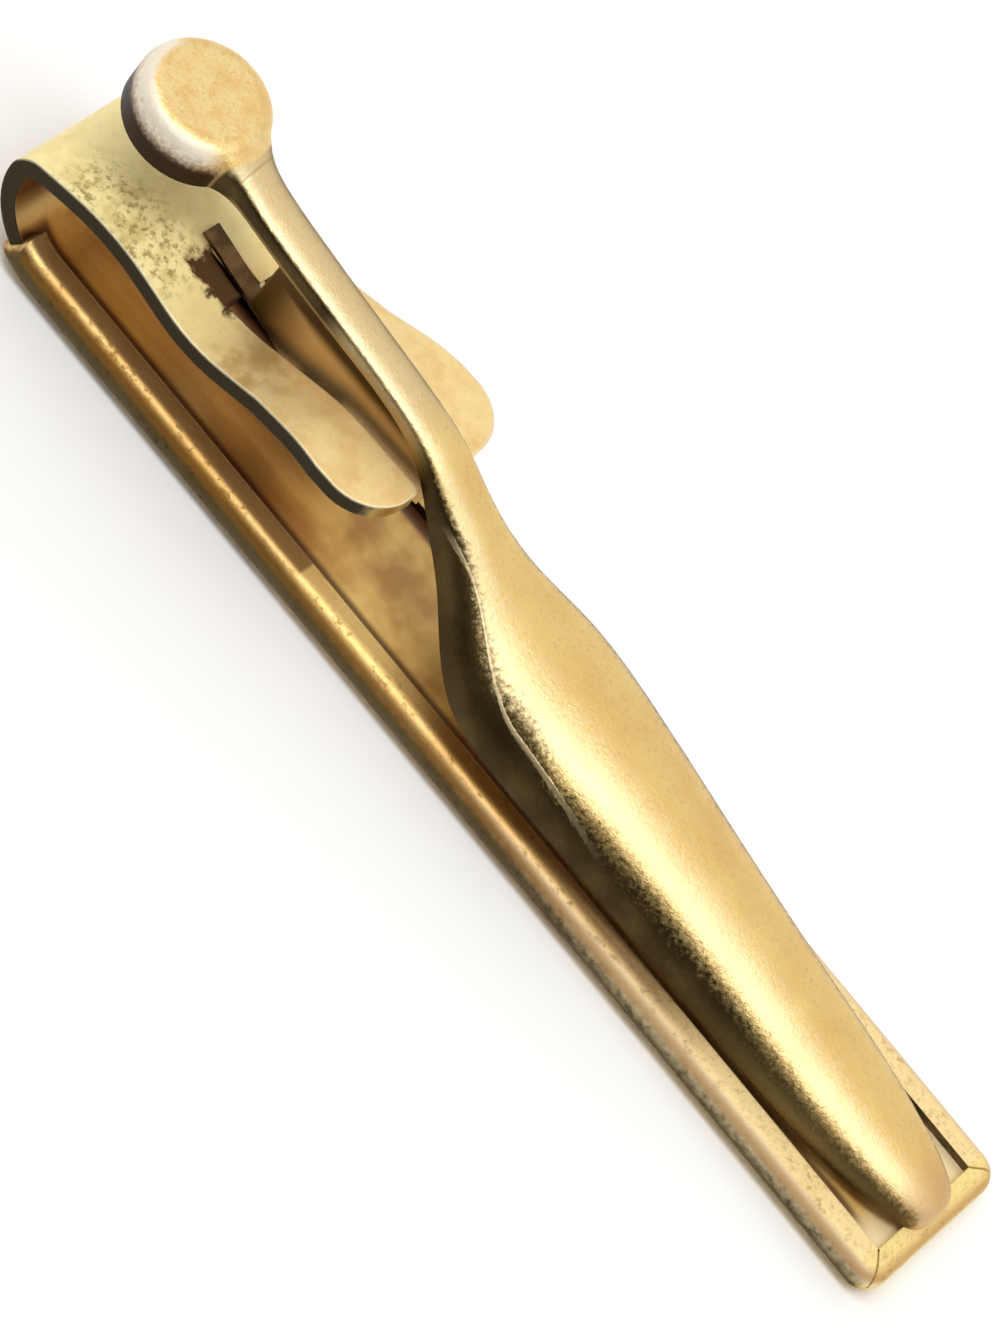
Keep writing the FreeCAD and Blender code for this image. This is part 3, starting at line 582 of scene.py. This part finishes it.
def lever_finish():
    """Fine blasted grain over tan gold, with painted highlights on the near shoulders and painted shade on
    the flanks.
    """
    satin = Finish("lever_satin_gold")
    clouds = satin.cloud(0.45, 4.0, 0.6)
    patches = satin.cloud(1.3, 4.0, 0.62)
    sand = satin.cloud(5.0, 4.0, 0.7)
    fine = satin.cloud(16.0, 2.0)
    speckle = sand - 0.5

    button, rim, wall = button_masks(satin, speckle)
    lug, lug_shade = lug_masks(satin)
    lip = lip_mask(satin) * (1 - lug)
    fold = fold_mask(satin, speckle)
    neck = satin.x.step(*NECK_X) * (1 - button)
    # Painted shade: over this span the dark of the near flank reaches higher.
    darker_flank_span = satin.x.between(*DARKER_FLANK_SPAN_X, 3.0) * satin.y.step(0.5, -0.5)
    grain = (0.60 - 0.40 * neck) * speckle
    # Painted shade on the flanks, standing in for their dark reflection of the near side; mottled by the
    # grain, lighter on the middle of the neck and the sides of the jaw.
    flank = (abs(satin.ny) + grain + 0.22 * darker_flank_span).step(0.50, 0.84) * (1 - lug) * (1 - button)
    pale_side = satin.x.between(*PALE_NECK_SPAN_X, 2.0).larger(0.3 * satin.x.step(*PALE_JAW_SIDE_X))
    # Painted highlight: pale gold on the shoulders that face the near side.
    facing_near_side = -satin.ny + 0.85 * grain
    shoulder = facing_near_side.step(0.00, 0.22) * facing_near_side.step(0.68, 0.42) * (1 - button)
    # Painted shade on the far edges, strongest on the neck.
    far_edge = (satin.ny + 0.22 * neck).step(0.34, 0.74) * (0.3 + 0.7 * neck) * (1 - button)
    # Painted shade in the crease between the button and the neck, which the bump cuts in.
    crease = abs(satin.x - CREASE_X + 0.12 * satin.y).step(0.09, 0.02) * satin.nz.step(0.6, 0.9)
    nose = satin.x.step(NOSE_X, NOSE_X + 1.8)
    button_gold = patches.step(0.40, 0.62).mix(BUTTON_GOLD, BUTTON_PATCH)
    flank_dark = clouds.step(0.4, 0.7).mix(FLANK_DARK, FLANK_OLIVE)
    wall_dark = (BUTTON_TOP_Z - satin.z).step(0.80, 1.35).mix(WALL_BROWN, WALL_DARK)

    colour = clouds.step(0.35, 0.75).mix(SATIN_GOLD, SATIN_TAN)
    colour = (0.6 * neck).mix(colour, NECK_TAN)
    colour = (0.55 * neck * satin.y.step(0.0, 1.0)).mix(colour, NECK_FAR_SHADE)
    colour = (0.55 * button).mix(colour, button_gold)
    colour = (0.5 * sand.step(0.52, 0.70)).mix(colour, SAND_BROWN)
    colour = (0.4 * crease).mix(colour, CREASE_BROWN)
    colour = (0.45 * shoulder).mix(colour, SHOULDER_GOLD)
    colour = (0.7 * nose).mix(colour, NOSE_TAN)
    colour = (0.8 * far_edge).mix(colour, FAR_EDGE_BROWN)
    colour = (0.9 * rim).mix(colour, RIM_SILVER)
    colour = ((0.97 - 0.50 * pale_side) * flank).mix(colour, flank_dark)
    # Painted highlight along the fold, which the bump raises.
    colour = (0.5 * fold).mix(colour, FOLD_GOLD)
    # Painted highlight: a lighter line on the lower edge of the neck's sides.
    colour = (0.4 * lip).mix(colour, LIP_BROWN)
    colour = wall.mix(colour, wall_dark)
    colour = lug.mix(colour, lug_shade.mix(LUG_GOLD, LUG_DARK))
    satin.feed("Base Color", colour)
    satin.feed("Metallic", 1 - 0.7 * rim * (1 - wall) - 0.25 * shoulder - 0.5 * lug * (1 - lug_shade))
    roughness = 0.33 + 0.10 * clouds + 0.06 * flank + 0.08 * rim
    satin.feed("Roughness", roughness + 0.04 * shoulder + 0.10 * nose)
    satin.emboss(sand + 0.4 * fine + 0.7 * fold - 1.0 * crease, 0.9, 0.03, 0.05)
    return satin


lever_finish().dress("lever", "satin_gold")


# Table, light and camera: a white table top, a soft lamp overhead and a room darker on the near side.
# The camera stands where the photograph was taken from, with its long lens.
TABLE_REACH = 2.0
TABLE_DROP = 0.02 * MM
TABLE_WHITE = (0.95, 0.95, 0.95, 1)
LAMP_PLACE = (0.0, -0.06, 0.40)
LAMP_LENGTH = 0.50
LAMP_WIDTH = 0.12
LAMP_POWER = 0.85
ROOM_LIGHT = (0.86, 0.85, 0.83, 1)
ROOM_DARK = (0.10, 0.095, 0.09, 1)
FRAME_HEIGHT_PX = 1333
FOCAL_PX = 5660.2
CAMERA_PLACE = Vector((13.55, -135.55, 177.91)) * MM
CAMERA_RIGHT = Vector((0.63592, 0.63410, 0.43991))
CAMERA_AHEAD = Vector((-0.06336, 0.61098, -0.78911))

table_corners = [(x * TABLE_REACH, y * TABLE_REACH, -TABLE_DROP)
                 for x, y in ((-1, -1), (1, -1), (1, 1), (-1, 1))]
table_mesh = bpy.data.meshes.new("table_top")
table_mesh.from_pydata(table_corners, [], [(0, 1, 2, 3)])
table_top = bpy.data.objects.new("table_top", table_mesh)
scene.collection.objects.link(table_top)
table_white = Finish("table_white")
table_white.shader.inputs["Base Color"].default_value = TABLE_WHITE
table_white.shader.inputs["Roughness"].default_value = 0.9
table_mesh.materials.append(table_white.material)

lamp_data = bpy.data.lights.new("overhead_light", "AREA")
lamp_data.shape = "RECTANGLE"
lamp_data.size = LAMP_LENGTH
lamp_data.size_y = LAMP_WIDTH
lamp_data.energy = LAMP_POWER
lamp = bpy.data.objects.new("overhead_light", lamp_data)
lamp.location = LAMP_PLACE
lamp.rotation_euler = (math.atan2(-LAMP_PLACE[1], LAMP_PLACE[2]), 0.0, 0.0)
scene.collection.objects.link(lamp)

room = bpy.data.worlds.new("room")
room.use_nodes = True
scene.world = room
background = room.node_tree.nodes["Background"]
direction = Socket(room.node_tree.nodes.new("ShaderNodeTexCoord").outputs["Generated"])
room_y, room_z = direction.split()[1:]
near_side = room_y.step(-0.10, -0.75) * room_z.step(0.90, 0.65)
room_colour = near_side.mix(ROOM_LIGHT, ROOM_DARK)
room.node_tree.links.new(room_colour.socket, background.inputs["Color"])
background.inputs["Strength"].default_value = 1.0

camera_data = bpy.data.cameras.new("camera")
camera = bpy.data.objects.new("camera", camera_data)
scene.collection.objects.link(camera)
scene.camera = camera
camera_data.sensor_width = 36.0
camera_data.lens = FOCAL_PX / FRAME_HEIGHT_PX * camera_data.sensor_width
camera_data.clip_start = 0.01
camera_data.clip_end = 10.0
ahead = CAMERA_AHEAD.normalized()
right = (CAMERA_RIGHT - ahead * CAMERA_RIGHT.dot(ahead)).normalized()
up = right.cross(ahead)
facing = Matrix((right, up, -ahead)).transposed().to_4x4()
camera.matrix_world = Matrix.Translation(CAMERA_PLACE) @ facing
